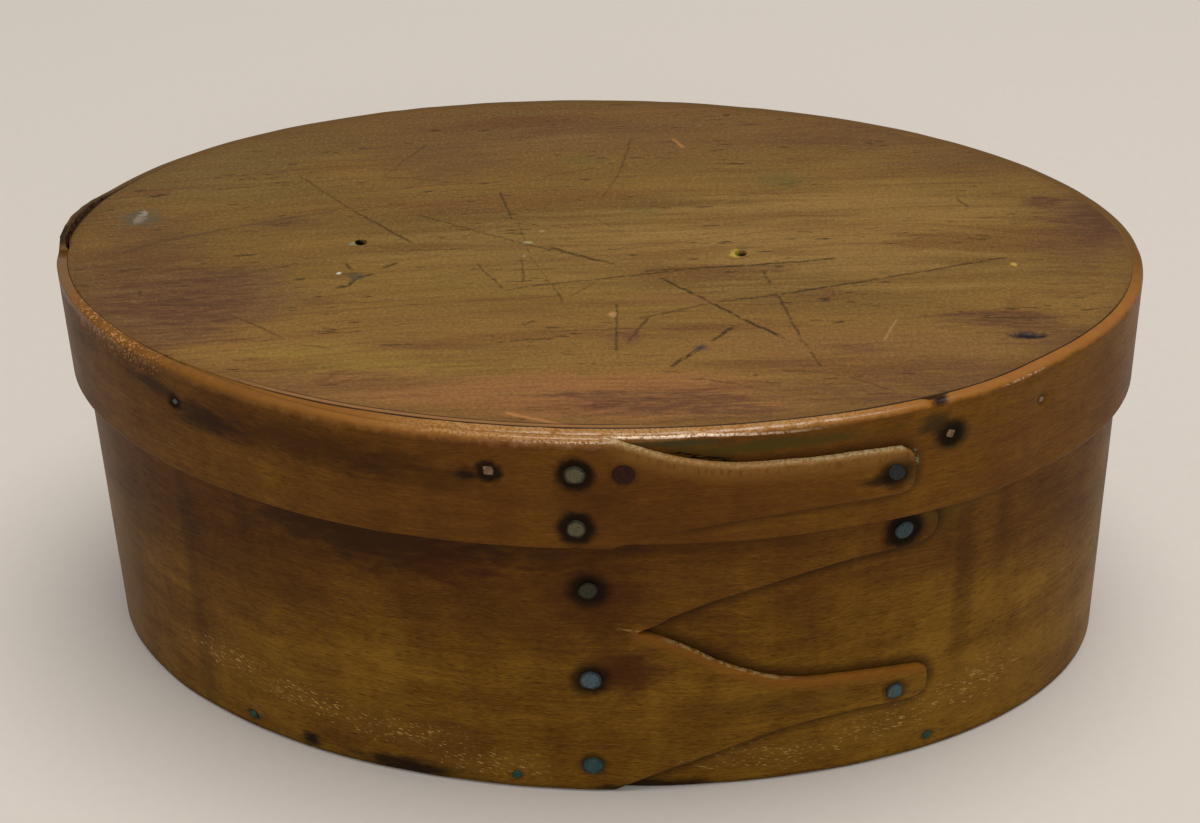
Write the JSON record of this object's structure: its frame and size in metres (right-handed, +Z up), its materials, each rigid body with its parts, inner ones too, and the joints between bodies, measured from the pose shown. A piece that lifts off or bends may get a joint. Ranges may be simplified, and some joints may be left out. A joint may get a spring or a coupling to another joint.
{
  "type": "oval bentwood box",
  "caption": "Small oval bentwood box with a lift-off lid; thin walls lap at the front in pointed fingers held by small tacks, closed by pinned wooden boards.",
  "frame": {"origin": "on the base, midway along the box and midway between its front and its back", "axes": "+X along the length of the box, -Y towards the lapped front, +Z up along the travel of the lid"},
  "size_m": [0.1142, 0.0726, 0.0463],
  "materials": {
    "body_wood": "old worn varnish on thin bent hardwood",
    "board_wood": "bare aged softwood",
    "lid_wood": "old worn varnish on thin bent hardwood",
    "lid_board_wood": "old scratched varnish on softwood",
    "tack_metal": "dull tarnished copper",
    "pin_wood": "pale end grain",
    "plug_wood": "reddish end grain",
    "bottom_pin_metal": "green tarnished copper",
    "nail_metal": "dull grey metal"
  },
  "bodies": {
    "box": {"body_band": "body_wood", "bottom_board": "board_wood", "body_tack_1": "tack_metal", "body_tack_2": "tack_metal", "body_tack_3": "tack_metal", "body_tack_4": "tack_metal", "body_tack_5": "tack_metal", "bottom_pin_1": "bottom_pin_metal", "bottom_pin_2": "bottom_pin_metal", "bottom_pin_3": "bottom_pin_metal", "bottom_pin_4": "bottom_pin_metal", "bottom_pin_5": "bottom_pin_metal", "bottom_pin_6": "bottom_pin_metal", "bottom_pin_7": "bottom_pin_metal", "bottom_pin_8": "bottom_pin_metal"},
    "lid": {"lid_band": "lid_wood", "lid_board": "lid_board_wood", "lid_tack_1": "tack_metal", "lid_tack_2": "tack_metal", "lid_tack_3": "tack_metal", "lid_pin_1": "pin_wood", "lid_pin_2": "pin_wood", "lid_pin_3": "pin_wood", "lid_pin_4": "pin_wood", "lid_pin_5": "pin_wood", "lid_pin_6": "pin_wood", "lid_pin_7": "pin_wood", "lid_pin_8": "pin_wood", "lid_pin_9": "pin_wood", "lid_plug": "plug_wood", "lid_top_nail": "nail_metal"}
  },
  "joints": [
    {"name": "lid_lift", "type": "slide", "parent": "box", "child": "lid", "axis": [0, 0, 1], "range_m": [0, 0.05]}
  ]
}
